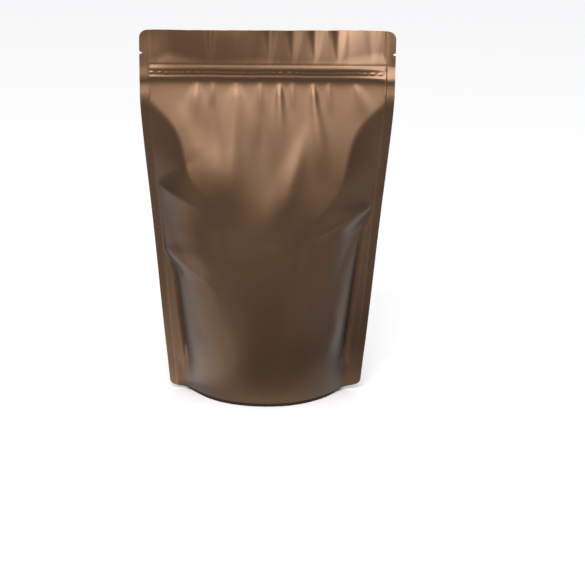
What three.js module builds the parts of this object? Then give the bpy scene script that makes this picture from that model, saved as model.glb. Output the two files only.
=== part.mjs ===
// A filled, shut stand-up pouch of satin bronze film, standing on the rim of its bottom gusset.
//
// Two film panels, front and back, are sealed together down both sides. Above the contents they lie flat
// on each other as a header with a press-to-close zip, and below it they bulge around the contents. The
// bottom gusset is a third panel, sealed to the lower edges of the other two and drawn up between them.
// Nothing separate can be seen, so the pouch is one solid.
//
// Millimetres, +Z up, the front panel towards -Y, the origin on the floor at the middle of the base.

import * as THREE from "three";

// Driving dimensions of the bag
const POUCH_WIDTH = 212;
const POUCH_HEIGHT = 315.5;
const SIDE_SEAL = 7.5;
const FILM_PAIR = 1.2;
const TOP_CORNER_RADIUS = 6.5;
const BOTTOM_CORNER_RADIUS = 5.6;

// The zip and the tear notches
const ZIP_MIDDLE = 281.5;
const ZIP_RIB_HALF = 3.6;
const ZIP_RIB_RISE = 0.4;
const ZIP_TAPE_HALF = 7;
const ZIP_TAPE_RISE = 0.3;
const ZIP_STEP = 0.6;
const ZIP_FOOT = ZIP_MIDDLE - ZIP_TAPE_HALF;
const ZIP_TOP = ZIP_MIDDLE + ZIP_TAPE_HALF;
const NOTCH_HEIGHT = 297;
const NOTCH_HALF = 1.3;
const NOTCH_DEPTH = 2.6;

// The header leans back above the zip, more on the right than on the left, and ripples along its length
const LEAN = [
  { at: -105, slope: 0.08 },
  { at: -90, slope: 0.11 },
  { at: -50, slope: 0.11 },
  { at: -27, slope: 0.17 },
  { at: -10, slope: 0.12 },
  { at: 12, slope: 0.14 },
  { at: 50, slope: 0.26 },
  { at: 68, slope: 0.37 },
  { at: 90, slope: 0.29 },
  { at: 105, slope: 0.14 },
];
const LEAN_EASE = 4;
const HEADER_WAVES = [
  { length: 120, rise: 0.9, phase: 0.6 },
  { length: 47, rise: 0.4, phase: 2.1 },
];

// The side edges draw in from the shoulder down, as the panels bow out, and wander a little
const SHOULDER = 258;
const EDGE_DRAW_IN = 0.084;
const EDGE_EASE = 14;
const EDGE_WAVE = { length: 130, rise: 0.9, phase: 1.24 };
const EDGE_WAVE_STARTS = [10, 40];
const EDGE_WAVE_ENDS = [16, 56];
const EDGE_REACH = 6;

// A panel from the side: a straight roof below the zip, then the curve of the belly, tucked in at the rim
const ROOF_SLOPE = 0.25;
const ROOF_EASE = 3;
const ROOF_KNEE = 238;
const BELLY_DEPTH = 42.2;
const BELLY_CURVE = 2.1;
const RIM_TUCK = 2;
const RIM_TUCK_HEIGHT = 12;

// At the shoulders the side seals follow the roof forward, first beside the zip and then below it
const KICK_AT_ZIP_LEFT = 1.8;
const KICK_AT_ZIP_RIGHT = 3.8;
const KICK_BELOW_ZIP = 3;
const KICK_ROUNDING = 1.5;
const KICK_BACK = [26, 105];

// A panel from above: a dome low down, and high up a flat roof that meets two straight flanks in creases
const DOME_POWER = 2.4;
const DOME_FULLNESS = 0.85;
const SOFT_FOOT = 6;
const SOFT_FOOT_TO = 60;
const ROOF_CROWN = 0.1;
const SHOULDER_SLOPE = 0.25;
const FLANK_SLOPE = 0.66;
const FLANK_STEEPENS = [25, 97];
const DOME_ROUNDING = 24;
const CREASE_ROUNDING = 0.8;
const CREASE_LEFT = [140, 206];
const CREASE_RIGHT = [112, 196];

// Beside the lower seals a flange of slack film rises gently to the bulge, which opens wider at the foot
const FLANGE = 7.5;
const FLANGE_TAPER = 4;
const FLANGE_LEFT = 131;
const FLANGE_RIGHT = 169;
const FLANGE_STARTS = 26;
const FLANGE_SLOPE = 0.18;
const FLANGE_REACH = 1.5;
const FOOT_OPENS = 3;
const FOOT_OPENS_BELOW = 35;

// Folds of the roof: place at the zip and at the end, then start, highest point and end below the zip, half
// width at the end, and rise, which is below zero for a hollow
const FRONT_FOLDS = [
  { top: -78, low: -40, start: 14, full: 62, end: 122, half: 29, rise: 1.3 },
  { top: -26, low: -33, start: 6, full: 74, end: 122, half: 18, rise: 1.8 },
  { top: 45, low: 4, start: 26, full: 93, end: 134, half: 16, rise: 2.1 },
  { top: 42, low: 46, start: 14, full: 55, end: 90, half: 13, rise: 0.8 },
  { top: -3, low: -2, start: 10, full: 50, end: 100, half: 13, rise: -0.8 },
  { top: -58, low: -63, start: -3, full: 13, end: 50, half: 16, rise: 0.9 },
  { top: -26, low: -24, start: -3, full: 13, end: 56, half: 20, rise: 0.8 },
];
const BACK_FOLDS = [
  { top: -50, low: -41, start: 6, full: 74, end: 112, half: 19, rise: 1.4 },
  { top: -15, low: -5, start: 6, full: 90, end: 130, half: 19, rise: 1.8 },
  { top: 38, low: 49, start: 6, full: 82, end: 120, half: 19, rise: 1.6 },
  { top: -66, low: -62, start: -3, full: 13, end: 52, half: 15, rise: 0.9 },
];
const FOLD_START = 1.5;
const FOLD_SHARPNESS = 1.9;

// Tucks beside the side seals: side, height at the seal, rise, reach inwards and slope of the crest inwards
const FRONT_TUCKS = [
  { side: -1, height: 187, rise: 4.6, reach: 50, slope: -0.5 },
  { side: -1, height: 131, rise: 2.6, reach: 40, slope: -0.9 },
  { side: 1, height: 169, rise: 4.6, reach: 52, slope: -0.6 },
  { side: 1, height: 60, rise: 1, reach: 20, slope: 0.5 },
];
const BACK_TUCKS = [
  { side: 1, height: 178, rise: 3, reach: 40, slope: -0.5 },
  { side: 1, height: 114, rise: 2.2, reach: 32, slope: -0.7 },
  { side: -1, height: 158, rise: 3.2, reach: 42, slope: -0.4 },
];
const TUCK_HALF = 5;
const TUCK_ABOVE = 1.1;
const TUCK_BELOW = 2.8;
const TUCK_FACE = 1.4;
const TUCK_END = 1.5;
const TUCK_PEAK = 5.38;

// The base: a skirt stands on the floor and the gusset spans it, sagging a little under the contents
const LIFT_LEFT = 3.6;
const LIFT_RIGHT = 5.2;
const LIFT_FROM = 0.55;
const LIFT_FADE = 50;
const SKIRT_HEIGHT = 9;
const SKIRT_OPENS = [8, 40];
const SKIRT_LEAN = 1.4;
const RIM_THICKNESS = 2;
const RIM_LARGEST_SHARE = 0.2;
const GUSSET_SAG = 3;
const GUSSET_FOLD = 1;

// Fineness of the faceted surface
const COLUMNS = 44;
const BODY_ROWS = 39;
const ARC_ROWS = 4;
const GUSSET_ROWS = 6;

const FRONT = -1;
const BACK = 1;

const mix = THREE.MathUtils.lerp;
const ease = THREE.MathUtils.smoothstep;
const clamp = THREE.MathUtils.clamp;

function sumOf(items, value) {
  return items.reduce((sum, item) => sum + value(item), 0);
}

// The smaller of two values, with a rounding where they meet
function softSmaller(a, b, rounding) {
  const near = Math.max(0, rounding - Math.abs(a - b));
  return Math.min(a, b) - (near * near) / (4 * rounding);
}

// How far a corner of this radius cuts into the edge, at a distance past the start of its arc
function cornerCut(radius, past) {
  const along = clamp(past, 0, radius);
  return radius - Math.sqrt(radius * radius - along * along);
}

// Half the width between the two outer edges, before the corners are rounded
function halfWidth(height) {
  const below = SHOULDER - height;
  const eased = (below + Math.hypot(below, EDGE_EASE)) / 2;
  return POUCH_WIDTH / 2 - EDGE_DRAW_IN * eased;
}

// Half the width of the cut outline: rounded at the corners, and notched through the header's seals
function outlineHalfWidth(height) {
  const notch = Math.max(0, 1 - Math.abs(height - NOTCH_HEIGHT) / NOTCH_HALF);
  return (
    halfWidth(height) -
    cornerCut(TOP_CORNER_RADIUS, height - (POUCH_HEIGHT - TOP_CORNER_RADIUS)) -
    cornerCut(BOTTOM_CORNER_RADIUS, BOTTOM_CORNER_RADIUS - height) -
    NOTCH_DEPTH * notch
  );
}

// Width of the flange between a side seal and the bulge
function flangeWidth(x, height) {
  const top = x < 0 ? FLANGE_LEFT : FLANGE_RIGHT;
  const width = FLANGE * ease(top - height, 0, FLANGE_STARTS) + FLANGE_TAPER * Math.max(0, 1 - height / top);
  return width - FOOT_OPENS * (1 - ease(height, 0, FOOT_OPENS_BELOW));
}

// Half the width of the part of a panel that is free to bulge
function freeHalfWidth(x, height) {
  return halfWidth(height) - SIDE_SEAL - flangeWidth(x, height);
}

// The straight roof that hangs from the zip
function roofLine(height) {
  const below = Math.max(0, ZIP_FOOT - height);
  return ROOF_SLOPE * (Math.hypot(below, ROOF_EASE) - ROOF_EASE);
}

// How far a panel stands out at its middle
function bellyDepth(height) {
  const deepest = roofLine(0) - BELLY_DEPTH;
  const curve = deepest * Math.pow(Math.max(0, 1 - height / ROOF_KNEE), BELLY_CURVE);
  const low = Math.max(0, 1 - height / RIM_TUCK_HEIGHT);
  return roofLine(height) - curve - RIM_TUCK * low * low;
}

// How far the side seals stand forward below the zip
function kickLine(height) {
  const out = softSmaller(roofLine(height), KICK_BELOW_ZIP, KICK_ROUNDING);
  return out * (1 - ease(ZIP_FOOT - height, ...KICK_BACK));
}

// 0 in the middle of the pouch, growing to 1 at the side seals
function nearEdge(x, height) {
  return Math.pow(Math.min(1, Math.abs(x) / (halfWidth(height) - SIDE_SEAL)), EDGE_REACH);
}

// How far a panel stands out, without folds and tucks, where its edges stand forward by the kick
function bulge(x, height, kick) {
  const free = freeHalfWidth(x, height);
  const share = Math.abs(x) / free;
  const depth = bellyDepth(height);
  const inside = 1 - Math.pow(share, DOME_POWER);
  const fullness = mix(1, DOME_FULLNESS, ease(height, 0, SOFT_FOOT_TO));
  const plainDome = depth * Math.sign(inside) * Math.pow(Math.abs(inside), fullness);
  const soft = SOFT_FOOT * (1 - ease(height, 0, SOFT_FOOT_TO));
  const dome = (plainDome + Math.hypot(plainDome, soft)) / 2;
  const crease = ease(height, ...(x < 0 ? CREASE_LEFT : CREASE_RIGHT));
  const roof = depth * (1 - ROOF_CROWN * Math.pow(Math.min(1, share), 2));
  const slope = mix(SHOULDER_SLOPE, FLANK_SLOPE, ease(ZIP_FOOT - height, ...FLANK_STEEPENS));
  const flank = slope * Math.max(0, free - Math.abs(x)) + kick;
  const creased = softSmaller(roof, flank, mix(DOME_ROUNDING, CREASE_ROUNDING, crease));
  const flange = flangeWidth(x, height);
  const ramp = clamp(free + flange - Math.abs(x), 0, FLANGE_REACH * flange);
  const rise = FLANGE_SLOPE * ramp * ease(height, 0, FOOT_OPENS_BELOW);
  return Math.max(rise, mix(dome, creased, crease));
}

// Relief of the folds that hang from the zip
function foldRelief(folds, x, height) {
  const below = ZIP_FOOT - height;
  return sumOf(folds, (fold) => {
    const way = Math.max(0, below / fold.end);
    const off = Math.abs(x - mix(fold.top, fold.low, way)) / mix(FOLD_START, fold.half, way);
    const along = ease(below, fold.start, fold.full) * (1 - ease(below, fold.full, fold.end));
    return fold.rise * along * Math.exp(-Math.pow(off, FOLD_SHARPNESS));
  });
}

// Relief of the tucks, each pinched at the seal and opening inwards to both sides of a crest
function tuckRelief(tucks, x, height) {
  const inward = Math.max(0, freeHalfWidth(x, height) - Math.abs(x));
  return sumOf(tucks, (tuck) => {
    if (tuck.side * x <= 0) return 0;
    const share = Math.min(1, inward / tuck.reach);
    const off = height - tuck.height - tuck.slope * inward;
    const face = TUCK_HALF + (off > 0 ? TUCK_ABOVE : TUCK_BELOW) * inward;
    const crest = Math.pow(Math.max(0, 1 - Math.abs(off) / face), TUCK_FACE);
    return tuck.rise * TUCK_PEAK * share * Math.pow(1 - share, TUCK_END) * crest;
  });
}

// Relief of the zip, which stops at the side seals
function zipRelief(x, height) {
  if (Math.abs(x) >= halfWidth(height) - SIDE_SEAL) return 0;
  const off = Math.abs(height - ZIP_MIDDLE);
  const rib = 1 - ease(off, ZIP_RIB_HALF - ZIP_STEP, ZIP_RIB_HALF + ZIP_STEP);
  const tape = 1 - ease(off, ZIP_TAPE_HALF - ZIP_STEP, ZIP_TAPE_HALF + ZIP_STEP);
  return ZIP_RIB_RISE * rib + ZIP_TAPE_RISE * tape;
}

function wave(shape, along) {
  return shape.rise * Math.sin((2 * Math.PI * along) / shape.length + shape.phase);
}

// Slope of the header's lean at a place along it
function leanSlope(x) {
  const after = LEAN.slice(1).find((place) => place.at >= x) ?? LEAN.at(-1);
  const before = LEAN[LEAN.indexOf(after) - 1];
  return mix(before.slope, after.slope, (x - before.at) / (after.at - before.at));
}

// The middle plane between the panels: the header leans and ripples, the side edges kick forward and wander
function middlePlane(x, height) {
  const above = Math.hypot(Math.max(0, height - ZIP_TOP + LEAN_EASE), LEAN_EASE) - LEAN_EASE;
  const ripple = sumOf(HEADER_WAVES, (shape) => wave(shape, x)) * ease(height, ZIP_MIDDLE, POUCH_HEIGHT);
  const below = ZIP_FOOT - height;
  const loose = ease(height, ...EDGE_WAVE_STARTS) * ease(below, ...EDGE_WAVE_ENDS);
  const wander = wave(EDGE_WAVE, height) * loose;
  const kickAtZip = x < 0 ? KICK_AT_ZIP_LEFT : KICK_AT_ZIP_RIGHT;
  const zipKick = kickAtZip * ease(ZIP_TOP - height, 0, 2 * ZIP_TAPE_HALF);
  const kick = zipKick * (1 - ease(below, ...KICK_BACK)) + kickLine(height);
  return leanSlope(x) * above + ripple + nearEdge(x, height) * (wander - kick);
}

// A panel's surface: how far it stands out from the plane y = 0, towards its own side
function panelY(side, x, height) {
  const folds = side === FRONT ? FRONT_FOLDS : BACK_FOLDS;
  const tucks = side === FRONT ? FRONT_TUCKS : BACK_TUCKS;
  const kick = side === FRONT ? kickLine(height) : 0;
  const smooth = Math.max(0, bulge(x, height, kick) - kick * nearEdge(x, height));
  const relief = Math.min(smooth, foldRelief(folds, x, height) + tuckRelief(tucks, x, height));
  return middlePlane(x, height) + side * (FILM_PAIR / 2 + smooth + relief + zipRelief(x, height));
}

// Places of the columns: even over the free width, and one at each cut edge
function columnX(column, height) {
  if (column === 0) return -outlineHalfWidth(height);
  if (column === COLUMNS) return outlineHalfWidth(height);
  const share = (column - 1) / (COLUMNS - 2);
  return (halfWidth(height) - SIDE_SEAL) * (2 * share - 1);
}

// Heights of the rows above the lower edge: even down the body, and on each line of the header and of
// the corners
function rowHeights() {
  const body = Array.from({ length: BODY_ROWS }, (_, row) => (ZIP_FOOT * row) / BODY_ROWS);
  const zipLines = [-ZIP_TAPE_HALF, -ZIP_RIB_HALF, ZIP_RIB_HALF, ZIP_TAPE_HALF].flatMap((line) => [
    ZIP_MIDDLE + line - ZIP_STEP,
    ZIP_MIDDLE + line + ZIP_STEP,
  ]);
  const notch = [-NOTCH_HALF, 0, NOTCH_HALF].map((off) => NOTCH_HEIGHT + off);
  const turns = Array.from({ length: ARC_ROWS + 1 }, (_, row) => ((Math.PI / 2) * row) / ARC_ROWS);
  const arc = turns.map((turn) => 1 - Math.sin(turn));
  const topCorner = arc.map((share) => POUCH_HEIGHT - TOP_CORNER_RADIUS * share);
  const bottomCorner = arc.slice(1, -1).map((share) => BOTTOM_CORNER_RADIUS * share);
  return [...body, ...bottomCorner, ...zipLines, ...notch, ...topCorner].sort((a, b) => a - b);
}

// One vertex of a panel. The lower edge lies on the floor along the rim and a little off it at the corners.
function panelPoint(side, column, height) {
  const x = columnX(column, height);
  const lift = (x < 0 ? LIFT_LEFT : LIFT_RIGHT) * ease(Math.abs(x) / halfWidth(height), LIFT_FROM, 1);
  const z = height + lift * Math.max(0, 1 - height / LIFT_FADE);
  return new THREE.Vector3(x, panelY(side, x, height), z);
}

// One column of the gusset, from the foot of the front panel to the foot of the back panel: the flat
// underside of the rim, the inside of the skirt, then the sagging span with its middle fold
function gussetColumn(front, back) {
  const open = back.y - front.y;
  const skirt = SKIRT_HEIGHT * ease(open, ...SKIRT_OPENS);
  const rim = Math.min(RIM_THICKNESS, open * RIM_LARGEST_SHARE);
  const inset = SKIRT_LEAN * rim;
  const inner = [];
  for (let row = 0; row <= GUSSET_ROWS; row += 1) {
    const share = row / GUSSET_ROWS;
    const fold = 2 * row === GUSSET_ROWS ? GUSSET_FOLD : 0;
    const sag = GUSSET_SAG * Math.sin(Math.PI * share) - fold;
    const z = front.z + skirt * (1 - sag / SKIRT_HEIGHT);
    inner.push(new THREE.Vector3(front.x, mix(front.y + inset, back.y - inset, share), z));
  }
  const frontRim = new THREE.Vector3(front.x, front.y + rim, front.z);
  const backRim = new THREE.Vector3(back.x, back.y - rim, back.z);
  return [frontRim, ...inner, backRim];
}

// The closed surface of the pouch: two panel grids, joined along the edges, the top and the gusset
function pouchGeometry() {
  const rows = rowHeights();
  const top = rows.length - 1;
  const points = [];
  const triangles = [];
  const addPoint = (point) => points.push(point) - 1;
  const quad = (a, b, c, d) => triangles.push(a, b, c, a, c, d);

  const grid = (side) =>
    rows.map((height) =>
      Array.from({ length: COLUMNS + 1 }, (_, column) => addPoint(panelPoint(side, column, height))),
    );
  const front = grid(FRONT);
  const back = grid(BACK);

  for (let row = 0; row < top; row += 1) {
    const [f, g] = [front[row], front[row + 1]];
    const [b, d] = [back[row], back[row + 1]];
    for (let column = 0; column < COLUMNS; column += 1) {
      quad(f[column], f[column + 1], g[column + 1], g[column]);
      quad(b[column + 1], b[column], d[column], d[column + 1]);
    }
  }

  const gusset = front[0].map((foot, column) => {
    const inner = gussetColumn(points[foot], points[back[0][column]]);
    return [foot, ...inner.map(addPoint), back[0][column]];
  });
  for (let column = 0; column < COLUMNS; column += 1) {
    quad(front[top][column], front[top][column + 1], back[top][column + 1], back[top][column]);
    const [near, far] = [gusset[column], gusset[column + 1]];
    for (let step = 0; step + 1 < near.length; step += 1) {
      quad(near[step], near[step + 1], far[step + 1], far[step]);
    }
  }

  // The cut edge at each end: a fan over the end of the gusset, then a strip up between the panels
  for (const column of [0, COLUMNS]) {
    const face = (...corners) => triangles.push(...(column === 0 ? corners.reverse() : corners));
    const foot = gusset[column];
    for (let step = 0; step + 1 < foot.length; step += 1) {
      face(foot[step], foot[step + 1], front[1][column]);
    }
    face(back[0][column], back[1][column], front[1][column]);
    for (let row = 1; row < top; row += 1) {
      face(front[row][column], back[row][column], back[row + 1][column]);
      face(front[row][column], back[row + 1][column], front[row + 1][column]);
    }
  }

  const geometry = new THREE.BufferGeometry().setFromPoints(points);
  geometry.setIndex(triangles);
  geometry.computeVertexNormals();
  return geometry;
}

const bronzeFilm = new THREE.MeshStandardMaterial({ color: 0x7a5c46, roughness: 0.4, metalness: 0.85 });

const pouch = new THREE.Mesh(pouchGeometry(), bronzeFilm);
pouch.name = "pouch";

const standUpPouch = new THREE.Group();
standUpPouch.add(pouch);

export default standUpPouch;
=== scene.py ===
# %% [markdown]
# # A stand-up pouch of satin bronze film
# The pouch is two panels of thin metallised film, sealed together down both sides. Above the contents
# they lie flat on each other as a header with a press-to-close zip. Below it they bulge round the
# contents, and a third panel, the gusset, opens between them into an oval base. Everything that shows is
# this one film. Such a form could be sculpted, or blown up as simulated cloth. Here it is built from
# short formulas, one for each thing that the film does, because then every fold has a place and a size
# that can be set against the real bag, and each run gives the same film.
#
# The solid model is loaded first and stays as it is. Its box is kept and printed at the end, beside the
# film's box.

# %% Load the frame and keep its box
import math

import bpy
import numpy as np
from mathutils import Matrix, Vector


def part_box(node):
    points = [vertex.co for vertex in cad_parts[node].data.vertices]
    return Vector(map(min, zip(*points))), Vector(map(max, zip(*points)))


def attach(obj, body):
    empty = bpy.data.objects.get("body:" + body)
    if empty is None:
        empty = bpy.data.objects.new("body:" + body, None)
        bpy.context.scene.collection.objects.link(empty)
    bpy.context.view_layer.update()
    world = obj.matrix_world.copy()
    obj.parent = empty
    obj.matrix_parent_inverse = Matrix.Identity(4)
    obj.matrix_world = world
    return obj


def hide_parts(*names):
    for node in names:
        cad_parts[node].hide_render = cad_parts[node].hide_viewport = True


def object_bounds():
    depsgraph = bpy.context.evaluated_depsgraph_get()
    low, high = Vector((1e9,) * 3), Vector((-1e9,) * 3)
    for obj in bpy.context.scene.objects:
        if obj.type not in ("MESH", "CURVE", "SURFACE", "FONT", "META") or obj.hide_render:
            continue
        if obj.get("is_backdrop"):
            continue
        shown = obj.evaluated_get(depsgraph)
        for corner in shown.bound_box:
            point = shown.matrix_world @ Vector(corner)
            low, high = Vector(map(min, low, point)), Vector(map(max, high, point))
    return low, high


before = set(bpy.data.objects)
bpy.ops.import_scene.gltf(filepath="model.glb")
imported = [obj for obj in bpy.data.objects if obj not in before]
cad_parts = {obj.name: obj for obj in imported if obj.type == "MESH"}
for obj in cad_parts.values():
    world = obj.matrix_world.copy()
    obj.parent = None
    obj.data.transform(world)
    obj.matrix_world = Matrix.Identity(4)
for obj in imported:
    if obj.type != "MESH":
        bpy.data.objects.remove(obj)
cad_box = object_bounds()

print("nodes:", list(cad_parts), "box:", [[round(v, 4) for v in corner] for corner in cad_box])

# %% [markdown]
# ## The measures of the bag
# Bags are specified in millimetres, so the form is worked out in millimetres and turned into metres only
# when the mesh is made. The outer sizes could be typed in, but they come from the frame, so that film and
# solid cannot drift apart. The rest are the bag's own measures: the side seals, the zip below the top
# edge, the rounded corners, the tear notches and the film itself.

# %% Measures of the bag
MM = 0.001
lowest, highest = (np.array(corner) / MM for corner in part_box("pouch"))
WIDTH = highest[0] - lowest[0]
HEIGHT = highest[2] - lowest[2]
SIDE_SEAL = 7.5
ZIP_BELOW_TOP = 34.0
ZIP_TAPE_HALF = 7.0
ZIP_MIDDLE = HEIGHT - ZIP_BELOW_TOP
ZIP_FOOT = ZIP_MIDDLE - ZIP_TAPE_HALF
ZIP_TOP = ZIP_MIDDLE + ZIP_TAPE_HALF
TOP_CORNER_RADIUS = 6.5
BOTTOM_CORNER_RADIUS = 5.6
NOTCH_BELOW_TOP = 18.5
NOTCH_HEIGHT = HEIGHT - NOTCH_BELOW_TOP
NOTCH_HALF = 1.3
NOTCH_DEPTH = 2.6
FILM = 0.25

print(f"bag {WIDTH:.1f} x {HEIGHT:.1f} mm, zip foot at {ZIP_FOOT:.1f} mm")

# %% [markdown]
# ## The edges
# A filled bag is narrower than a flat one: film that bows out has less left over for the width, so the
# edges draw in from the shoulder down. The lower corners stand a little off the floor, because the rim of
# the oval base carries the bag. The edges could be curves drawn by hand. They are formulas of the height,
# because every later step asks for the width at some height. The formulas work on whole arrays at once,
# so one call gives a value for every point of a panel. `across` runs from -1 at the left edge to 1 at the
# right edge.

# %% Formulas of the edges
SHOULDER = 258.0
EDGE_DRAW_IN = 0.084
EDGE_EASE = 14.0
LIFT_LEFT, LIFT_RIGHT = 3.6, 5.2
LIFT_FROM = 0.55
LIFT_FADE = 50.0


def ease(value, start, end):
    """0 before start, 1 after end, and smooth between them."""
    share = np.clip((value - start) / (end - start), 0, 1)
    return share * share * (3 - 2 * share)


def half_width(z):
    below = SHOULDER - z
    return WIDTH / 2 - EDGE_DRAW_IN * (below + np.hypot(below, EDGE_EASE)) / 2


def corner_lift(across, z):
    lift = np.where(across < 0, LIFT_LEFT, LIFT_RIGHT) * ease(np.abs(across), LIFT_FROM, 1)
    return lift * np.maximum(0, 1 - z / LIFT_FADE)


print("width at the floor:", round(float(2 * half_width(0.0)), 1), "mm")

# %% [markdown]
# ## The flanges
# The contents cannot push the panels apart right up to the seals. Beside each lower seal a strip of film
# stays nearly flat, like a flange, and the bulge starts behind it. A flange begins at the pinch where the
# film tucks in, widens downwards, and gives way again just above the floor, where the base opens. It
# could be a strip of its own, but the film runs on without a break. So it is only a width, taken from the
# part of the panel that is free to bulge.

# %% Width of the flanges
FLANGE, FLANGE_TAPER = 7.5, 4.0
FLANGE_LEFT, FLANGE_RIGHT = 131.0, 169.0
FLANGE_STARTS = 26.0
FOOT_OPENS, FOOT_OPENS_BELOW = 3.0, 35.0


def flange_width(across, z):
    """Width of the nearly flat film between a side seal and the bulge."""
    top = np.where(across < 0, FLANGE_LEFT, FLANGE_RIGHT)
    width = FLANGE * ease(top - z, 0, FLANGE_STARTS) + FLANGE_TAPER * np.maximum(0, 1 - z / top)
    return width - FOOT_OPENS * (1 - ease(z, 0, FOOT_OPENS_BELOW))


def free_half_width(across, z):
    """Half the width of the part of a panel that is free to bulge."""
    return half_width(z) - SIDE_SEAL - flange_width(across, z)


print("left flange at 0, 60 and 120 mm:", flange_width(-1, np.array([0, 60, 120])).round(1), "mm wide")

# %% [markdown]
# ## The panel from the side
# Seen from the side a panel hangs from the zip, runs down as a straight roof, and turns into the curve of
# the belly, which is deepest just above the floor. At the rim it tucks in again, where the gusset pulls
# on it. At the shoulders the side seals follow the front roof forward for a few millimetres and come back
# lower down. That is the kick. One drawn curve could hold the whole profile. A straight line and a power
# curve are used instead, so that the slope and the depth can be set apart from each other.

# %% Profile of a panel
ROOF_SLOPE = 0.25
ROOF_EASE = 3.0
ROOF_KNEE = 238.0
BELLY_DEPTH = 42.2
BELLY_CURVE = 2.1
RIM_TUCK = 2.0
RIM_TUCK_HEIGHT = 12.0
KICK = 3.0
KICK_ROUNDING = 1.5
KICK_BACK = (26.0, 105.0)


def soft_smaller(a, b, rounding):
    """The smaller of two values, with a rounding where they meet."""
    near = np.maximum(0, rounding - np.abs(a - b))
    return np.minimum(a, b) - near**2 / (4 * rounding)


def roof_line(z):
    below = np.maximum(0, ZIP_FOOT - z)
    return ROOF_SLOPE * (np.hypot(below, ROOF_EASE) - ROOF_EASE)


def belly_depth(z):
    """How far a panel stands out in its middle."""
    curve = (roof_line(0.0) - BELLY_DEPTH) * np.maximum(0, 1 - z / ROOF_KNEE) ** BELLY_CURVE
    tuck = RIM_TUCK * np.maximum(0, 1 - z / RIM_TUCK_HEIGHT) ** 2
    return roof_line(z) - curve - tuck


def kick_line(z):
    """How far the side seals stand forward below the zip."""
    return soft_smaller(roof_line(z), KICK, KICK_ROUNDING) * (1 - ease(ZIP_FOOT - z, *KICK_BACK))


print("belly depth at 0, 100 and 200 mm:", [round(float(belly_depth(z)), 1) for z in (0, 100, 200)])

# %% [markdown]
# ## The panel from above
# Low down a slice through the panel is a full dome. At the floor it runs out softly, which gives the
# lower edge its S-curve. High up the slice is a nearly flat roof with a straight flank on each side, and
# the two meet in a crease that runs up to the end of the zip. The flanks are steeper further down. One
# curve could hardly be round below and creased above, so the form is a mix of two slices, and the creased
# one takes the smaller of roof and flank. The flange is a gentle ramp beside them, pinched where it meets
# the bulge: that pinch is the dark line down each side.

# %% Slices of a panel
DOME_POWER, DOME_FULLNESS = 2.4, 0.85
SOFT_FOOT, SOFT_FOOT_TO = 6.0, 60.0
ROOF_CROWN = 0.10
SHOULDER_SLOPE, FLANK_SLOPE = 0.25, 0.66
FLANK_STEEPENS = (25.0, 97.0)
DOME_ROUNDING, CREASE_ROUNDING = 24.0, 0.8
CREASE_LEFT, CREASE_RIGHT = (140.0, 206.0), (112.0, 196.0)
FLANGE_SLOPE, FLANGE_REACH = 0.18, 1.5
PINCH, PINCH_HALF = 0.8, 2.6


def mix(a, b, share):
    return a + (b - a) * share


def dome_slice(share, z):
    inside = 1 - share**DOME_POWER
    fullness = mix(1, DOME_FULLNESS, ease(z, 0, SOFT_FOOT_TO))
    dome = belly_depth(z) * np.sign(inside) * np.abs(inside) ** fullness
    soft = SOFT_FOOT * (1 - ease(z, 0, SOFT_FOOT_TO))
    return (dome + np.hypot(dome, soft)) / 2


def flange_slice(inward, flange, z):
    """Rise of the flange, by the distance inwards from the foot of the bulge."""
    ramp = FLANGE_SLOPE * np.clip(inward + flange, 0, FLANGE_REACH * flange)
    pinch = PINCH * np.exp(-((inward / PINCH_HALF) ** 2))
    return ramp * ease(z, 0, FOOT_OPENS_BELOW) * (1 - pinch)


def bulge(across, z, kick):
    """How far a panel stands out, from 0 where the panels lie flat on each other."""
    free = free_half_width(across, z)
    off = np.abs(across) * half_width(z)
    share, inward = off / free, free - off
    roof = belly_depth(z) * (1 - ROOF_CROWN * np.minimum(1, share) ** 2)
    slope = mix(SHOULDER_SLOPE, FLANK_SLOPE, ease(ZIP_FOOT - z, *FLANK_STEEPENS))
    flank = slope * np.maximum(0, inward) + kick
    crease = np.where(across < 0, ease(z, *CREASE_LEFT), ease(z, *CREASE_RIGHT))
    creased = soft_smaller(roof, flank, mix(DOME_ROUNDING, CREASE_ROUNDING, crease))
    film = mix(dome_slice(share, z), creased, crease)
    return np.maximum(film, flange_slice(inward, flange_width(across, z), z))


print("bulge at 100 mm, middle to edge:", bulge(np.linspace(0, 1, 6), 100.0, 0.0).round(1))

# %% [markdown]
# ## Folds of the roof
# Under the zip the header gathers the film, so it hangs in folds. Small pleats start as points at the zip
# and fade out within a few centimetres. Larger lobes start lower, grow wider and end in round tips where
# the contents begin to fill the bag. Where the rise is below zero, the fold is a hollow between two
# lobes. They could be sculpted one by one. All of them are the same shape with other numbers, so one list
# holds them, and each can still be moved alone. The two panels fold differently, as on a real bag.

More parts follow.
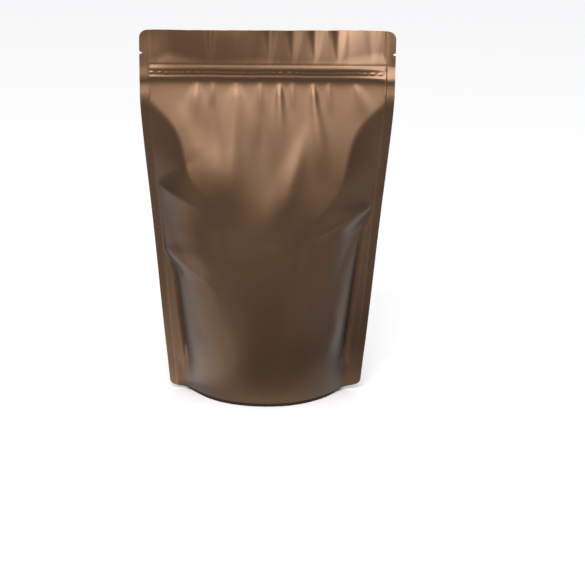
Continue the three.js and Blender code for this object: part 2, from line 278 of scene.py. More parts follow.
# %% Folds of the two panels
# Place at the zip and at the end, then start, highest point and end below the zip, half width at the end,
# and rise
FRONT_FOLDS = (
    (-78, -40, 14, 62, 122, 29, 1.3), (-26, -33, 6, 74, 122, 18, 1.8), (45, 4, 26, 93, 134, 16, 2.1),
    (42, 46, 14, 55, 90, 13, 0.8), (-58, -63, -3, 13, 50, 16, 0.9), (-26, -24, -3, 13, 56, 20, 0.8),
    (10, 12, -3, 12, 70, 10, 1.1), (37.6, 45, -3, 12, 78, 10, 1.0), (73, 84, -3, 9, 36, 12, 0.6),
    (-45, -46, -3, 7, 24, 5, 0.35), (-6, -6, -3, 7, 28, 6, 0.45), (20.5, 22, -3, 7, 26, 5, 0.4),
    (50.5, 53, -3, 7, 30, 5, 0.4), (-46, -43, 8, 38, 72, 9, -0.4), (-3, -2, 10, 50, 100, 13, -0.8),
)
BACK_FOLDS = (
    (-50, -41, 6, 74, 112, 19, 1.4), (-15, -5, 6, 90, 130, 19, 1.8), (38, 49, 6, 82, 120, 19, 1.6),
    (-66, -62, -3, 13, 52, 15, 0.9), (-15, -12, -3, 12, 60, 12, 1.0), (31, 35, -3, 13, 56, 14, 1.0),
    (61, 63, -3, 12, 48, 12, 0.8), (-40, -40, -3, 7, 26, 6, 0.4), (4, 5, -3, 7, 24, 6, 0.4),
)
FOLD_START = 1.5
FOLD_SHARPNESS = 1.9


def folds_relief(x, z, folds):
    below = ZIP_FOOT - z
    relief = np.zeros(np.broadcast(x, z).shape)
    for top, low, start, full, end, half, rise in folds:
        way = np.maximum(0, below / end)
        off = (x - mix(top, low, way)) / mix(FOLD_START, half, way)
        along = ease(below, start, full) * (1 - ease(below, full, end))
        relief += rise * along * np.exp(-np.abs(off) ** FOLD_SHARPNESS)
    return relief


print("folds of the front:", len(FRONT_FOLDS), "of the back:", len(BACK_FOLDS))

# %% [markdown]
# ## Tucks at the seals
# A straight seal cannot follow the swelling panel, so beside it the film is too long and tucks up here
# and there. Each tuck is pinched at the seal and opens inwards. Its crest is a crease between a face that
# looks up a little and a face that looks down a little, and those two faces catch different light. A tuck
# could be modelled with edges of its own. The grid is fine enough to carry it as relief, so nothing has
# to be cut in.

# %% Tucks of the two panels
# Side, height at the seal, rise, reach in from the seal, slope of the crest on its way in
FRONT_TUCKS = (
    (-1, 187, 4.6, 50, -0.5), (-1, 131, 2.6, 40, -0.9), (1, 169, 4.6, 52, -0.6), (1, 60, 1.0, 20, 0.5),
)
BACK_TUCKS = ((1, 178, 3.0, 40, -0.5), (1, 114, 2.2, 32, -0.7), (-1, 158, 3.2, 42, -0.4))
TUCK_HALF = 5.0
TUCK_ABOVE, TUCK_BELOW = 1.1, 2.8
TUCK_FACE = 1.4
TUCK_END = 1.5
# Brings the highest point along a tuck to its full rise
TUCK_PEAK = 5.38


def tucks_relief(across, z, tucks):
    inward = np.maximum(0, free_half_width(across, z) - np.abs(across) * half_width(z))
    relief = np.zeros(across.shape)
    for side, height, rise, reach, slope in tucks:
        share = np.minimum(1, inward / reach)
        off = z - height - slope * inward
        face = TUCK_HALF + np.where(off > 0, TUCK_ABOVE, TUCK_BELOW) * inward
        crest = np.maximum(0, 1 - np.abs(off) / face) ** TUCK_FACE
        along = TUCK_PEAK * share * (1 - share) ** TUCK_END
        relief += np.where(side * across > 0, rise * along * crest, 0)
    return relief


print("tucks of the front:", len(FRONT_TUCKS), "of the back:", len(BACK_TUCKS))

# %% [markdown]
# ## The cut of the bag
# Each panel is a grid of rows and columns. The corners and the notches could be cut with a Boolean, which
# would leave uneven faces. Here the edge of the grid follows the outline itself. It narrows over the
# corners' arcs and at the tear notches, and only the columns of the seal follow it, so the film inside is
# not disturbed. Rows lie closer where something small sits: the folds, the zip, the notches and the
# rounded corners. On each side one column runs along the foot of the bulge, because a crease that crossed
# the columns would come out as a row of steps.

# %% Outline of the cut
def corner_cut(radius, past):
    along = np.clip(past, 0, radius)
    return radius - np.sqrt(radius**2 - along**2)


def outline_cut(z):
    """How far the cut edge lies inside the straight edge."""
    notch = np.maximum(0, 1 - np.abs(z - NOTCH_HEIGHT) / NOTCH_HALF)
    top = corner_cut(TOP_CORNER_RADIUS, z - (HEIGHT - TOP_CORNER_RADIUS))
    bottom = corner_cut(BOTTOM_CORNER_RADIUS, BOTTOM_CORNER_RADIUS - z)
    return top + bottom + NOTCH_DEPTH * notch


print("cut at a notch:", round(float(outline_cut(NOTCH_HEIGHT)), 1), "mm deep")

# %% Rows and columns of the grid
SEAL_SHARE = 1 - SIDE_SEAL / (WIDTH / 2)
SEAL_STEP = 0.35
SEAL_COLUMNS = 6
PANEL_COLUMNS = 160
FLANGE_COLUMNS = 8
FLANGE_SHARE = SEAL_SHARE * (1 - 2 * FLANGE_COLUMNS / PANEL_COLUMNS)
FLANGE_LEAST = 3.0
FINE_ABOVE = 180.0
COARSE_ROWS, FINE_ROWS = 90, 90
ZIP_ROWS = 28
HEADER_ROWS = 14
ARC_ROWS = 8


def follow_bulge(across, z):
    """Shift the columns, so that on each side one of them runs along the foot of the bulge."""
    size = np.abs(across)
    foot = 1 - (SIDE_SEAL + np.maximum(FLANGE_LEAST, flange_width(across, z))) / half_width(z)
    inside = foot * size / FLANGE_SHARE
    beside = mix(foot, SEAL_SHARE, (size - FLANGE_SHARE) / (SEAL_SHARE - FLANGE_SHARE))
    return np.sign(across) * np.select([size < FLANGE_SHARE, size < SEAL_SHARE], [inside, beside], size)


half_seal = np.linspace(SEAL_SHARE + SEAL_STEP / (WIDTH / 2), 1, SEAL_COLUMNS + 1)
inner = np.linspace(-SEAL_SHARE, SEAL_SHARE, PANEL_COLUMNS + 1)
columns = np.concatenate([-half_seal[::-1], inner, half_seal])
arc = 1 - np.sin(np.linspace(0, np.pi / 2, ARC_ROWS + 1))
rows = np.unique(np.concatenate([
    np.linspace(0, FINE_ABOVE, COARSE_ROWS + 1),
    np.linspace(FINE_ABOVE, ZIP_FOOT, FINE_ROWS + 1),
    np.linspace(ZIP_FOOT, ZIP_TOP, ZIP_ROWS + 1),
    np.linspace(ZIP_TOP, HEIGHT - TOP_CORNER_RADIUS, HEADER_ROWS + 1),
    NOTCH_HEIGHT + NOTCH_HALF * np.array([-1, -0.5, 0, 0.5, 1]),
    BOTTOM_CORNER_RADIUS * arc,
    HEIGHT - TOP_CORNER_RADIUS * arc,
]).round(4))
print(len(rows), "rows and", len(columns), "columns for each panel")

# %% [markdown]
# ## The zip
# The zip is a tape with two tracks, welded to the inside of the panels, so it shows as relief: a ramp
# down to the upper track, a line of beads where the tracks lock, the lower track, and a groove below it.
# At the seals the tracks are crushed flat. Bars and beads could be modelled and joined to the film, but
# only their print shows. So a profile along the height, faded towards the seals, gives all of that. The
# tracks are never quite straight and the beads never quite even, so slow waves move both.

# %% Relief of the zip
# Height above or below the middle of the zip, from top to bottom, and how far the film stands out there
ZIP_LEVELS = (7.0, 6.4, 3.4, 2.6, 0.9, -1.5, -2.3, -3.5, -4.2, -6.4, -7.0)
ZIP_RELIEF = (0.0, -0.10, 0.32, 0.30, 0.12, 0.08, 0.11, 0.36, 0.32, 0.0, 0.0)
# Waves: length, rise and phase
TRACK_WAVES = ((61, 0.16, 0.5), (23, 0.07, 1.9))
BEAD_LEVEL = -0.2
BEAD_HALF = 1.3
BEAD_LINE = 0.12
BEADS = (5.4, 0.24, 0.0)
BEAD_JITTER = (37, 1.6, 0.4)
BEAD_STRENGTH, BEAD_FADE = 0.5, (88, 0.5, 0.9)
CRUSH_FROM, CRUSH_TO = 10.0, 6.5
HUMP_ROUNDNESS = 1.5


def wave(along, length, rise, phase):
    return rise * np.sin(2 * np.pi * along / length + phase)


def hump(off, half):
    """A round ridge: 1 in its middle, 0 beyond its half width."""
    return np.clip(1 - (off / half) ** 2, 0, 1) ** HUMP_ROUNDNESS


def zip_relief(x, z):
    level = z - ZIP_MIDDLE
    level = level - hump(level, ZIP_TAPE_HALF) * sum(wave(x, *shape) for shape in TRACK_WAVES)
    relief = np.interp(level, ZIP_LEVELS[::-1], ZIP_RELIEF[::-1])
    beads = wave(x + wave(x, *BEAD_JITTER), *BEADS) * (BEAD_STRENGTH + wave(x, *BEAD_FADE))
    relief = relief + (BEAD_LINE + beads) * hump(level - BEAD_LEVEL, BEAD_HALF)
    return relief * ease(half_width(z) - np.abs(x), CRUSH_TO, CRUSH_FROM)


print("upper track stands out", round(float(zip_relief(0.0, ZIP_MIDDLE + ZIP_LEVELS[2])), 2), "mm")

# %% [markdown]
# ## The lean of the header
# Above the zip the two films hang together. They lean back, more on the right than on the left, which is
# why the header is brighter there, and a heel just above the zip leans further still. Simulated cloth
# could hang like this, but its lean could not be set. Short tables of slopes set it place by place.

# %% Lean and heel of the header
LEAN_PLACES = (-105, -90, -70, -50, -27, -10, 12, 50, 68, 90, 105)
LEAN_SLOPES = (0.06, 0.11, 0.10, 0.11, 0.17, 0.12, 0.14, 0.26, 0.38, 0.29, 0.14)
LEAN_EASE = 4.0
HEEL_SLOPE = 0.12
HEEL_PLACES = (-100, -90, -81, -67, -47, -5, 18, 59, 95, 100)
HEEL_HEIGHTS = (0, 3.5, 8.5, 5, 0.5, 3, 0.5, 1.5, 9, 0)
HEEL_ROUNDING = 3.0
HEADER_WAVES = ((120, 0.9, 0.6), (47, 0.4, 2.1))


def header_plane(x, z):
    """The lean of the header, with its heel and its slow ripples."""
    above = np.hypot(np.maximum(0, z - ZIP_TOP + LEAN_EASE), LEAN_EASE) - LEAN_EASE
    lean = np.interp(x, LEAN_PLACES, LEAN_SLOPES) * above
    heel_height = np.interp(x, HEEL_PLACES, HEEL_HEIGHTS)
    heel = HEEL_SLOPE * soft_smaller(np.maximum(0, z - ZIP_TOP), heel_height, HEEL_ROUNDING)
    ripple = sum(wave(x, *shape) for shape in HEADER_WAVES) * ease(z, ZIP_MIDDLE, HEIGHT)
    return lean + heel + ripple


print("the header leans back", round(float(header_plane(90.0, HEIGHT)), 1), "mm at its right end")

# %% [markdown]
# ## The seals and the films of the header
# Each film of the header stands off the middle by itself and is drawn in again along sharp valleys, so
# the mouth shows as a fine slit that opens and closes along the top edge. At the shoulders the seals kick
# forward beside and below the zip, and further down they wander a little. The panels could each be bent
# alone, but sealed edges have to move together. So both panels share one middle plane, and each adds only
# its own distance from it.

# %% Middle plane and valleys
# Valleys: place, half width at the top edge, depth
FRONT_VALLEYS = (
    (-88, 8, 0.5), (-47, 3, 1.0), (-18, 8, 0.4), (2, 4, 1.3), (21.5, 5, 1.4), (39.5, 4.5, 1.4),
    (58.5, 5, 1.5), (86, 6, 0.7),
)
BACK_VALLEYS = (
    (-66, 6, 1.2), (-36, 6, 1.0), (-7, 5, 1.1), (19, 6, 1.2), (49, 6, 1.3), (72, 5, 1.0), (90, 5, 0.8),
)
VALLEY_START = 1.2
MOUTH_GAP, MOUTH_EASE = 1.5, 8.0
KICK_AT_ZIP_LEFT, KICK_AT_ZIP_RIGHT = 1.8, 3.8
SEAL_WANDER = (130, 0.9, 1.24)
WANDER_ABOVE_FLOOR, WANDER_BELOW_ZIP = (10, 40), (16, 56)
EDGE_REACH = 6


def near_edge(x, z):
    """0 in the middle of the bag, growing to 1 at the side seals."""
    return np.minimum(1, np.abs(x) / (half_width(z) - SIDE_SEAL)) ** EDGE_REACH


def middle_plane(x, z):
    """The plane between the panels: a leaning header, and seals that kick forward and wander."""
    below = ZIP_FOOT - z
    wander = wave(z, *SEAL_WANDER) * ease(z, *WANDER_ABOVE_FLOOR) * ease(below, *WANDER_BELOW_ZIP)
    zip_kick = np.where(x < 0, KICK_AT_ZIP_LEFT, KICK_AT_ZIP_RIGHT) * (1 - ease(below, *KICK_BACK))
    zip_kick = zip_kick * ease(ZIP_TOP - z, 0, 2 * ZIP_TAPE_HALF)
    return header_plane(x, z) + near_edge(x, z) * (wander - zip_kick - kick_line(z))


def header_relief(x, z, valleys):
    """How far a film of the header stands off the middle plane."""
    inside = ease(half_width(z) - np.abs(x), SIDE_SEAL, SIDE_SEAL + MOUTH_EASE)
    share = np.clip((z - ZIP_TOP) / (HEIGHT - ZIP_TOP), 0, 1)
    relief = MOUTH_GAP
    for place, half, depth in valleys:
        relief = relief - depth * np.exp(-(((x - place) / mix(VALLEY_START, half, share)) ** 2))
    return inside * share * np.maximum(0, relief)


zip_end = float(middle_plane(half_width(ZIP_FOOT), ZIP_FOOT))
print("the right seal stands", round(-zip_end, 1), "mm forward at the foot of the zip")

# %% [markdown]
# ## The panels' surfaces
# Now each panel is put together from the bulge, the folds, the tucks, the relief and the middle plane.
# Slow waves of slack keep the bulge from looking turned on a lathe. The seal is pressed a little thinner
# than the film beside it, and that small step draws the seal line down both sides. The welding jaws leave
# a short mark at each lower corner. The whole bag leans to one side by less than a millimetre. Displace
# modifiers could add all this one after another. A plain sum is used, because it can hold the folds back
# where the bulge is thin.

# %% Put the panels together
FRONT, BACK = -1, 1
SEAL_PRESS = 0.14
# Marks of the welding jaws: place across, lower end, upper end
WELD_MARKS = ((-74.0, 13.0, 31.0), (68.0, 11.0, 22.0))
MARK_HALF = 1.2
MARK_DEPTH = 0.4
MARK_END = 3.0
SLACK_WAVES = ((58, 0.16, 0.7), (41, 0.10, 2.4))
SLACK_SLANT, SLACK_EASE = 0.5, 30.0
SWAY = 0.8


def weld_marks(x, z):
    marks = np.zeros(x.shape)
    for place, low, high in WELD_MARKS:
        along = ease(z, low, low + MARK_END) * (1 - ease(z, high - MARK_END, high))
        marks += MARK_DEPTH * hump(x - place, MARK_HALF) * along
    return marks


def panel_surface(side, folds, tucks, valleys):
    """Points of one panel, as a grid of rows and columns."""
    across, z = np.meshgrid(columns, rows)
    across = follow_bulge(across, z)
    x = across * half_width(z)
    kick = kick_line(z) if side == FRONT else np.zeros(z.shape)
    smooth = np.maximum(0, bulge(across, z, kick) - kick * near_edge(x, z))
    slack = sum(wave(x + SLACK_SLANT * z, *shape) for shape in SLACK_WAVES) * ease(smooth, 0, SLACK_EASE)
    relief = folds_relief(x, z, folds) + tucks_relief(across, z, tucks) + slack
    swell = np.where(z < ZIP_FOOT, smooth + np.minimum(smooth, relief), 0)
    sealed = np.clip((np.abs(columns) - SEAL_SHARE) / (1 - SEAL_SHARE), 0, 1)
    x = x - np.sign(columns) * sealed * outline_cut(rows)[:, None]
    pressed = SEAL_PRESS * (np.abs(columns) > SEAL_SHARE)
    stand_off = FILM - pressed - weld_marks(x, z) + zip_relief(x, z) + header_relief(x, z, valleys)
    x = x + SWAY * (2 * z / HEIGHT - 1)
    y = middle_plane(x, z) + side * (stand_off + swell)
    return np.stack([x, y, z + corner_lift(across, z)], -1)


front = panel_surface(FRONT, FRONT_FOLDS, FRONT_TUCKS, FRONT_VALLEYS)
back = panel_surface(BACK, BACK_FOLDS, BACK_TUCKS, BACK_VALLEYS)
print("panels span", front.reshape(-1, 3).min(0).round(1), "to", back.reshape(-1, 3).max(0).round(1))

# %% [markdown]
# ## The gusset
# Under the bag the lower edges of the panels stand on the floor as a rim. Inside it the gusset rises
# behind a short skirt and spans the oval. It sags under the contents and keeps the middle fold that it
# had when it lay flat in the bag. A flat lid could close the base, but from below it would look like a
# box. Each column of the panels gets one strip of gusset, from the front rim to the back rim, so the
# edges match by themselves.

# %% The gusset
RIM, RIM_LARGEST_SHARE = 0.5, 0.3
SKIRT_HEIGHT = 9.0
SKIRT_OPENS = (8.0, 40.0)
SKIRT_LEAN, LEAN_LARGEST_SHARE = 1.5, 0.05
SKIRT_ROWS, SPAN_ROWS = 5, 30
GUSSET_SAG = 3.0
GUSSET_FOLD, GUSSET_FOLD_HALF = 1.6, 0.10
GUSSET_PLEATS = ((11.0, 0.35, 0.4), (17.0, 0.25, 2.0))


def gusset_surface(front_foot, back_foot):
    """Rows of points from the front rim to the back rim, for every column."""
    x, base = front_foot[:, 0], front_foot[:, 2]
    opening = back_foot[:, 1] - front_foot[:, 1]
    rim = np.minimum(RIM, opening * RIM_LARGEST_SHARE)
    lean = np.minimum(SKIRT_LEAN, opening * LEAN_LARGEST_SHARE)
    rise = SKIRT_HEIGHT * ease(opening, *SKIRT_OPENS)
    near, far = front_foot[:, 1] + rim, back_foot[:, 1] - rim
    up = np.linspace(0, 1, SKIRT_ROWS, endpoint=False)
    strip = [np.stack([x, near + lean * share, base + rise * share], -1) for share in up]
    pleats = sum(wave(x, *pleat) for pleat in GUSSET_PLEATS)
    for share in np.linspace(0, 1, SPAN_ROWS + 1):
        fold = GUSSET_FOLD * max(0.0, 1 - abs(share - 0.5) / GUSSET_FOLD_HALF)
        sag = (GUSSET_SAG + pleats) * np.sin(np.pi * share) - fold
        y = mix(near + lean, far - lean, share)
        strip.append(np.stack([x, y, base + rise * (1 - sag / SKIRT_HEIGHT)], -1))
    strip += [np.stack([x, far - lean * share, base + rise * share], -1) for share in up[::-1]]
    return np.stack(strip)


gusset = gusset_surface(front[0], back[0])
print("gusset:", gusset.shape[0], "rows, highest", round(float(gusset[..., 2].max()), 1), "mm up")

# %% [markdown]
# ## One closed mesh
# The grids become one closed mesh, because a film that could be seen through from behind would show stray
# light. Two open sheets with a Solidify modifier could do it too, but their thickness could cross where
# the panels lie close. Vertices are numbered grid by grid, so a strip of faces is only two rows of
# numbers side by side. The panels meet along their cut edges, and the gusset joins their feet. At each
# lower corner one face with many sides closes the foot of the cut edge over the end of the gusset.

# %% Faces of the panels, the edges and the gusset
PANEL, SEAL, INSIDE = 0, 1, 2
vertices = []
faces = []
finishes = []


def add_grid(points):
    first = sum(len(block) for block in vertices)
    vertices.append(points.reshape(-1, 3))
    return first + np.arange(points[..., 0].size).reshape(points.shape[:2])


def add_strips(numbers, finish, flip=False):
    """Faces between each row of vertex numbers and the next, with one finish or one for each column."""
    quads = np.stack([numbers[:-1, :-1], numbers[:-1, 1:], numbers[1:, 1:], numbers[1:, :-1]], -1)
    if flip:
        quads = quads[..., ::-1]
    faces.extend(quads.reshape(-1, 4).tolist())
    finishes.extend(np.broadcast_to(finish, quads.shape[:2]).ravel().tolist())


def add_face(numbers, finish, flip=False):
    corners = [int(number) for number in numbers]
    faces.append(corners[::-1] if flip else corners)
    finishes.append(finish)


front_numbers, back_numbers = add_grid(front), add_grid(back)
column_finish = np.where(np.abs(columns[1:] + columns[:-1]) / 2 > SEAL_SHARE, SEAL, PANEL)
add_strips(front_numbers, column_finish)
add_strips(back_numbers, column_finish, flip=True)

feet = np.concatenate([front_numbers[:1], add_grid(gusset), back_numbers[:1]])
add_strips(feet, INSIDE, flip=True)
for end, flip in ((0, True), (-1, False)):
    add_strips(np.stack([front_numbers[1:, end], back_numbers[1:, end]], 1), SEAL, flip)
    add_face([*feet[:, end], back_numbers[1, end], front_numbers[1, end]], SEAL, flip)
print(len(faces), "faces so far")

# %% [markdown]
# ## The mouth
# At the top edge the two films are separate, and the mouth between them is a fine slit. A dark line could
# be painted there, but it would be wrong from any other side. So each film turns over its own lip and
# goes a little way down inside. Where the side seals close the mouth, the two edges are joined straight
# across.

# %% Lips of the mouth, and the finished mesh
LIP = 0.18
MOUTH_ROWS = 12
MOUTH_MARGIN = SEAL_COLUMNS + 4

mouth = slice(MOUTH_MARGIN, len(columns) - MOUTH_MARGIN)
inside_rows = slice(None, -MOUTH_ROWS - 1, -1)
front_lip = add_grid(front[inside_rows, mouth] + (0, LIP, 0))
back_lip = add_grid(back[inside_rows, mouth] - (0, LIP, 0))
front_edge, back_edge = front_numbers[-1], back_numbers[-1]
add_strips(np.stack([front_edge[mouth], *front_lip, *back_lip[::-1], back_edge[mouth]]), INSIDE)
for closed in (slice(0, MOUTH_MARGIN), slice(len(columns) - MOUTH_MARGIN, None)):
    add_strips(np.stack([front_edge[closed], back_edge[closed]]), SEAL)
for end, beyond, flip in ((0, MOUTH_MARGIN - 1, False), (-1, len(columns) - MOUTH_MARGIN, True)):
    add_strips(np.stack([front_lip[:, end], back_lip[:, end]], 1), INSIDE, not flip)
    corner = [front_edge[beyond], front_edge[mouth][end], front_lip[0, end]]
    corner += [back_lip[0, end], back_edge[mouth][end], back_edge[beyond]]
    add_face(corner, SEAL, flip)

mesh = bpy.data.meshes.new("film_pouch")
mesh.from_pydata((np.concatenate(vertices) * MM).tolist(), [], faces)
mesh.polygons.foreach_set("material_index", finishes)
mesh.polygons.foreach_set("use_smooth", [True] * len(faces))
mesh.update()
changed = mesh.validate(verbose=True)
print(len(mesh.vertices), "vertices,", len(mesh.polygons), "faces, valid:", not changed)

# %% [markdown]
# ## The piece and its worn ridges
# The mesh becomes one object that rides on the part's only body and stands for the solid. Sharp edges,
# such as the cut edges and the lips, are marked by angle, and everything else shades smoothly. Film that
# has been folded goes paler along its sharpest ridges, so the mesh also carries how strongly each point
# is ridged. A shader could ask for pointiness, but only Cycles knows that, and a value on the mesh goes
# wherever the mesh goes. An edge that falls away from the normal at its end is a sign of a ridge, and the
# mean over all edges of a point measures it.

# %% Make the object and measure its ridges
SHARP_ANGLE = math.radians(50)
RIDGE_BEND = 0.02
RIDGE_START = 0.3
SHORTEST_SQUARE = 1e-6

pouch = bpy.data.objects.new("film_pouch", mesh)
bpy.context.scene.collection.objects.link(pouch)
mesh.set_sharp_from_angle(angle=SHARP_ANGLE)


def mesh_values(items, key, width, kind=float):
    values = np.empty(len(items) * width, dtype=kind)
    items.foreach_get(key, values)
    return values.reshape(-1, width)


def ridge_strength(mesh):
    """For each vertex 0 on flat film and in valleys, up to 1 on a sharp ridge."""
    places = mesh_values(mesh.vertices, "co", 3) / MM
    normals = mesh_values(mesh.vertex_normals, "vector", 3)
    start, end = mesh_values(mesh.edges, "vertices", 2, int).T
    along = places[end] - places[start]
    square = np.maximum((along**2).sum(1), SHORTEST_SQUARE)
    bend, count = np.zeros(len(places)), np.zeros(len(places))
    for here, way in ((start, along), (end, -along)):
        np.add.at(bend, here, -(way * normals[here]).sum(1) / square)
        np.add.at(count, here, 1)
    return np.clip(bend / count / RIDGE_BEND - RIDGE_START, 0, 1)


ridges = ridge_strength(mesh)
mesh.attributes.new("ridge", "FLOAT", "POINT").data.foreach_set("value", ridges)
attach(pouch, "root")
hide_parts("pouch")
print("ridged share of the film:", round(float(ridges.mean()), 3))

# %% [markdown]
# ## Grain and wear, shared by the finishes
# The bag shows three finishes of the same laminate: the free panels, the pressed seals, and the film of
# the gusset and the mouth. They share two effects, so each effect is a node group. The first is the
# film's grain, a slight unevenness of a millimetre or two and cloudy changes in tone. The second is the
# paler wear on ridges. Images could give both, but noise needs no file and shows no repeat. A group puts
# out plain values only, and each material decides what to do with them.

# %% Node groups for grain and wear
def new_group(name, inputs, outputs):
    group = bpy.data.node_groups.new(name, "ShaderNodeTree")
    for label, value in inputs.items():
        socket = group.interface.new_socket(label, in_out="INPUT", socket_type="NodeSocketFloat")
        socket.default_value = value
    for label in outputs:
        group.interface.new_socket(label, in_out="OUTPUT", socket_type="NodeSocketFloat")
    return group, group.nodes.new("NodeGroupInput").outputs, group.nodes.new("NodeGroupOutput").inputs


def connect(tree, value, socket):
    """Set a socket to a number, or link another socket to it."""
    if isinstance(value, (int, float)):
        socket.default_value = value
    else:
        tree.links.new(value, socket)


def calculate(tree, operation, *values, clamp=False):
    node = tree.nodes.new("ShaderNodeMath")
    node.operation = operation
    node.use_clamp = clamp
    for value, socket in zip(values, node.inputs):
        connect(tree, value, socket)
    return node.outputs["Value"]


def noise(tree, scale, detail):
    node = tree.nodes.new("ShaderNodeTexNoise")
    node.inputs["Detail"].default_value = detail
    place = tree.nodes.new("ShaderNodeTexCoord").outputs["Object"]
    connect(tree, place, node.inputs["Vector"])
    connect(tree, scale, node.inputs["Scale"])
    return node.outputs["Fac"]


grain_inputs = {"Grain Scale": 700, "Cloud Scale": 16}
grain_group, given, result = new_group("film_grain", grain_inputs, ["Height", "Tone"])
connect(grain_group, noise(grain_group, given["Grain Scale"], detail=3), result["Height"])
connect(grain_group, noise(grain_group, given["Cloud Scale"], detail=3), result["Tone"])

wear_group, given, result = new_group("ridge_wear", {"Ridge": 0, "Breakup Scale": 240}, ["Wear"])
broken = noise(wear_group, given["Breakup Scale"], detail=4)
connect(wear_group, calculate(wear_group, "MULTIPLY", given["Ridge"], broken), result["Wear"])
print("groups:", grain_group.name, wear_group.name)

# %% [markdown]
# ## The finishes
# Satin metallised film is a metal under a thin lacquer. The metal gives the bronze colour, and the
# lacquer gives the greyish sheen that shows where the bulge turns away. A bronze plastic could come
# close, but it would not tint what it mirrors. So the shader is metallic, with a rough clear coat, and
# the colour fades to a dull haze as the surface turns from view. Values that are the same all over sit on
# the shader itself, and only what changes over the surface is linked: the colour, the roughness and the
# fine relief.

# %% Colours of the film
BRONZE = (0.152, 0.078, 0.034)
WORN_BRONZE = (0.24, 0.13, 0.06)
LACQUER_HAZE = (0.10, 0.075, 0.065)
HAZE_GAIN, HAZE_START = 2.6, -0.45
TONE_SPREAD = 0.08


def mixed_colour(tree, share, first, second):
    node = tree.nodes.new("ShaderNodeMix")
    node.data_type = "RGBA"
    connect(tree, share, node.inputs["Factor"])
    for colour, socket in ((first, node.inputs["A"]), (second, node.inputs["B"])):
        if isinstance(colour, tuple):
            socket.default_value = (*colour, 1)
        else:
            connect(tree, colour, socket)
    return node.outputs["Result"]


def group_node(tree, group):
    node = tree.nodes.new("ShaderNodeGroup")
    node.node_tree = group
    return node


def shaded_bronze(share):
    return tuple(share * part for part in BRONZE)


darker, lighter = shaded_bronze(1 - TONE_SPREAD), shaded_bronze(1 + TONE_SPREAD)
print("bronze from", np.round(darker, 3), "to", np.round(lighter, 3))

# %% Materials of the film
ROUGHNESS_SPREAD = 0.10
COAT_ROUGHNESS = 0.32
GRAIN_HEIGHT = 0.0002


def film_material(name, roughness, grain_scale, relief):
    material = bpy.data.materials.new(name)
    material.use_nodes = True
    tree = material.node_tree
    shader = tree.nodes["Principled BSDF"]
    shader.inputs["Metallic"].default_value = 1.0
    shader.inputs["Coat Weight"].default_value = 1.0
    shader.inputs["Coat Roughness"].default_value = COAT_ROUGHNESS

    grain = group_node(tree, grain_group)
    grain.inputs["Grain Scale"].default_value = grain_scale
    wear = group_node(tree, wear_group)
    ridge = tree.nodes.new("ShaderNodeAttribute")
    ridge.attribute_name = "ridge"
    connect(tree, ridge.outputs["Fac"], wear.inputs["Ridge"])

    colour = mixed_colour(tree, grain.outputs["Tone"], darker, lighter)
    colour = mixed_colour(tree, wear.outputs["Wear"], colour, WORN_BRONZE)
    facing = tree.nodes.new("ShaderNodeLayerWeight").outputs["Facing"]
    haze = calculate(tree, "MULTIPLY_ADD", facing, HAZE_GAIN, HAZE_START, clamp=True)
    connect(tree, mixed_colour(tree, haze, colour, LACQUER_HAZE), shader.inputs["Base Color"])

    smoothest = roughness - ROUGHNESS_SPREAD / 2
    uneven = calculate(tree, "MULTIPLY_ADD", grain.outputs["Tone"], ROUGHNESS_SPREAD, smoothest)
    connect(tree, uneven, shader.inputs["Roughness"])
    bump = tree.nodes.new("ShaderNodeBump")
    bump.inputs["Strength"].default_value = relief
    bump.inputs["Distance"].default_value = GRAIN_HEIGHT
    connect(tree, grain.outputs["Height"], bump.inputs["Height"])
    connect(tree, bump.outputs["Normal"], shader.inputs["Normal"])
    return material


mesh.materials.append(film_material("satin_bronze_film", roughness=0.42, grain_scale=700, relief=0.10))
mesh.materials.append(film_material("pressed_seal_film", roughness=0.40, grain_scale=900, relief=0.14))
mesh.materials.append(film_material("gusset_film", roughness=0.44, grain_scale=600, relief=0.12))
print("finishes:", [material.name for material in mesh.materials])

# %% [markdown]
# ## The stage
# A plain pale floor carries the pouch. A satin metal shows whatever stands round it. An endless bright
# floor would wash out the dark belly, so the floor itself is kept out of the reflections, and the lights
# below stand for the parts of it that the film really shows. A wide sun lights only the floor.

# %% Floor
FLOOR_HALF = 9.0
FLOOR_TONE = (0.80, 0.80, 0.80, 1)
FLOOR_ROUGHNESS = 0.9
SUN_STRENGTH = 3.0
SUN_ANGLE = math.radians(120)


def light_only(lamp, piece):
    """Let a lamp light one object and nothing else."""
    receivers = bpy.data.collections.new("lit_by_" + lamp.name)
    receivers.objects.link(piece)
    lamp.light_linking.receiver_collection = receivers


floor_mesh = bpy.data.meshes.new("floor")
corners = [(x * FLOOR_HALF, y * FLOOR_HALF, 0) for x, y in ((-1, -1), (1, -1), (1, 1), (-1, 1))]
floor_mesh.from_pydata(corners, [], [(0, 1, 2, 3)])
floor = bpy.data.objects.new("floor", floor_mesh)
bpy.context.scene.collection.objects.link(floor)
floor.visible_glossy = False
paper = bpy.data.materials.new("floor_paper")
paper.use_nodes = True
paper.node_tree.nodes["Principled BSDF"].inputs["Base Color"].default_value = FLOOR_TONE
paper.node_tree.nodes["Principled BSDF"].inputs["Roughness"].default_value = FLOOR_ROUGHNESS
floor_mesh.materials.append(paper)

sun_light = bpy.data.lights.new("floor_sun", "SUN")
sun_light.energy = SUN_STRENGTH
sun_light.angle = SUN_ANGLE
sun = bpy.data.objects.new("floor_sun", sun_light)
bpy.context.scene.collection.objects.link(sun)
light_only(sun, floor)
floor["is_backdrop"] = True
print("floor", 2 * FLOOR_HALF, "m wide")

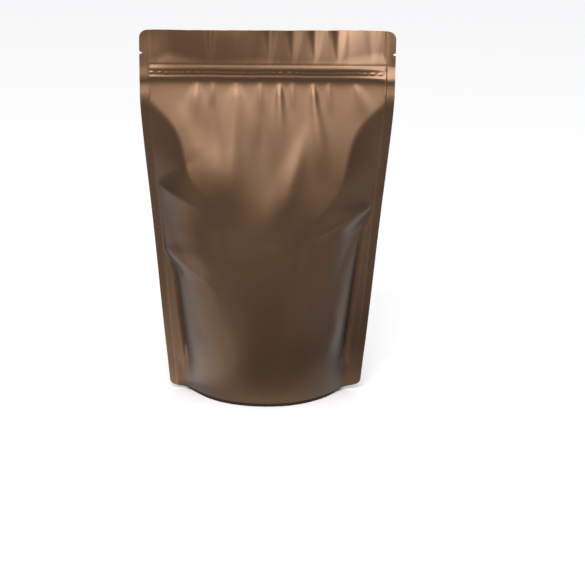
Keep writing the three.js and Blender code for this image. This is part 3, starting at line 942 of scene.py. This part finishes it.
# %% [markdown]
# ## Light
# A large warm box above and in front lights the leaning roof under the zip and leaves the upright belly
# dark. A second box does the same for the back. It lights the film only, so it throws no shadow on the
# floor. Flat lights on the floor stand for the glow of the floor. Those beside the pouch draw the grey
# bands down its flanks, those further out reach the facets higher up, and the two in front reach the seals.
# A faint amber one warms the right front, and the oval one under the base lights the rim. A dim, slightly
# cool surrounding gives the tone of everything else.

# %% Lights
WARM, PALE, AMBER = (1.0, 0.95, 0.88), (1.0, 0.97, 0.92), (1.0, 0.84, 0.70)
BOX_TONE = (1.0, 0.95, 0.90)
BOX_SIZE = (1.0, 0.7)
ROOF_BOX_PLACE, ROOF_BOX_POWER = (-0.15, -1.05, 1.05), 16.5
BACK_BOX_PLACE, BACK_BOX_POWER = (0.15, 1.05, 1.05), 10.0
GLOW_HEIGHT = 0.003
# Name, place across and in depth, size across and in depth, power, colour
GLOWS = (
    ("left_glow", -0.25, -0.06, 0.34, 0.50, 0.42, WARM),
    ("left_far_glow", -0.75, -0.20, 0.66, 0.70, 0.68, PALE),
    ("left_seal_glow", -0.26, -0.55, 0.30, 0.40, 0.14, WARM),
    ("right_glow", 0.30, 0.18, 0.35, 0.38, 0.34, PALE),
    ("right_far_glow", 0.80, -0.20, 0.60, 0.70, 0.64, PALE),
    ("right_front_glow", 0.32, -0.24, 0.30, 0.30, 0.09, AMBER),
    ("right_seal_glow", 0.28, -0.55, 0.34, 0.40, 0.30, WARM),
    ("rim_glow", -0.01, -0.01, 0.24, 0.15, 0.037, WARM),
)


def area_light(name, place, target, width, height, power, colour):
    light = bpy.data.lights.new(name, "AREA")
    light.shape = "RECTANGLE"
    light.size, light.size_y = width, height
    light.energy = power
    light.color = colour
    lamp = bpy.data.objects.new(name, light)
    bpy.context.scene.collection.objects.link(lamp)
    lamp.location = place
    lamp.rotation_euler = (Vector(target) - Vector(place)).to_track_quat("-Z", "Y").to_euler()
    lamp.visible_camera = False
    return lamp


middle = (0, 0, HEIGHT * MM / 2)
area_light("roof_box", ROOF_BOX_PLACE, middle, *BOX_SIZE, ROOF_BOX_POWER, BOX_TONE)
light_only(area_light("back_box", BACK_BOX_PLACE, middle, *BOX_SIZE, BACK_BOX_POWER, BOX_TONE), pouch)
for name, x, y, width, depth, power, colour in GLOWS:
    area_light(name, (x, y, GLOW_HEIGHT), (x, y, 1), width, depth, power, colour)
bpy.data.lights["rim_glow"].shape = "ELLIPSE"
print("lights:", [item.name for item in bpy.data.lights])

# %% Surroundings
WORLD_TONE = (0.98, 1.0, 1.08, 1)
WORLD_STRENGTH = 0.2

world = bpy.data.worlds.new("studio")
world.use_nodes = True
world.node_tree.nodes["Background"].inputs["Color"].default_value = WORLD_TONE
world.node_tree.nodes["Background"].inputs["Strength"].default_value = WORLD_STRENGTH
bpy.context.scene.world = world
bpy.context.scene.view_settings.view_transform = "Standard"
print("surroundings at strength", WORLD_STRENGTH)

# %% [markdown]
# ## Camera
# The photograph looks a little down on the pouch with a long lens. The corners of the bag, which is a
# rectangle when it lies flat, fix the lens, the distance and the slight roll.

# %% Camera
PHOTO_SIDE = 585
FOCAL_PIXELS = 1322
SENSOR = 36
ELEVATION = math.radians(18)
ROLL = math.radians(0.47)
LOOK_AT = Vector((22.9, 0, 90.6)) * MM
DISTANCE = 1152.5 * MM

camera = bpy.data.cameras.new("camera")
camera.sensor_width = SENSOR
camera.lens = SENSOR * FOCAL_PIXELS / PHOTO_SIDE
eye = bpy.data.objects.new("camera", camera)
bpy.context.scene.collection.objects.link(eye)
turn = Matrix.Rotation(math.pi / 2 - ELEVATION, 4, "X") @ Matrix.Rotation(ROLL, 4, "Z")
eye.matrix_world = Matrix.Translation(LOOK_AT) @ turn @ Matrix.Translation((0, 0, DISTANCE))
bpy.context.scene.camera = eye
print("lens", round(camera.lens, 1), "mm, eye at", [round(v, 3) for v in eye.matrix_world.translation])

# %% [markdown]
# ## Sizes
# Both boxes, the solid's and the film's, are printed. The film may reach only a little past the
# solid's box.

# %% Sizes
sizes = {"cad": cad_box, "visual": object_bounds()}
sizes = {name: [[float(v) for v in corner] for corner in box] for name, box in sizes.items()}
print("sizes:", sizes)
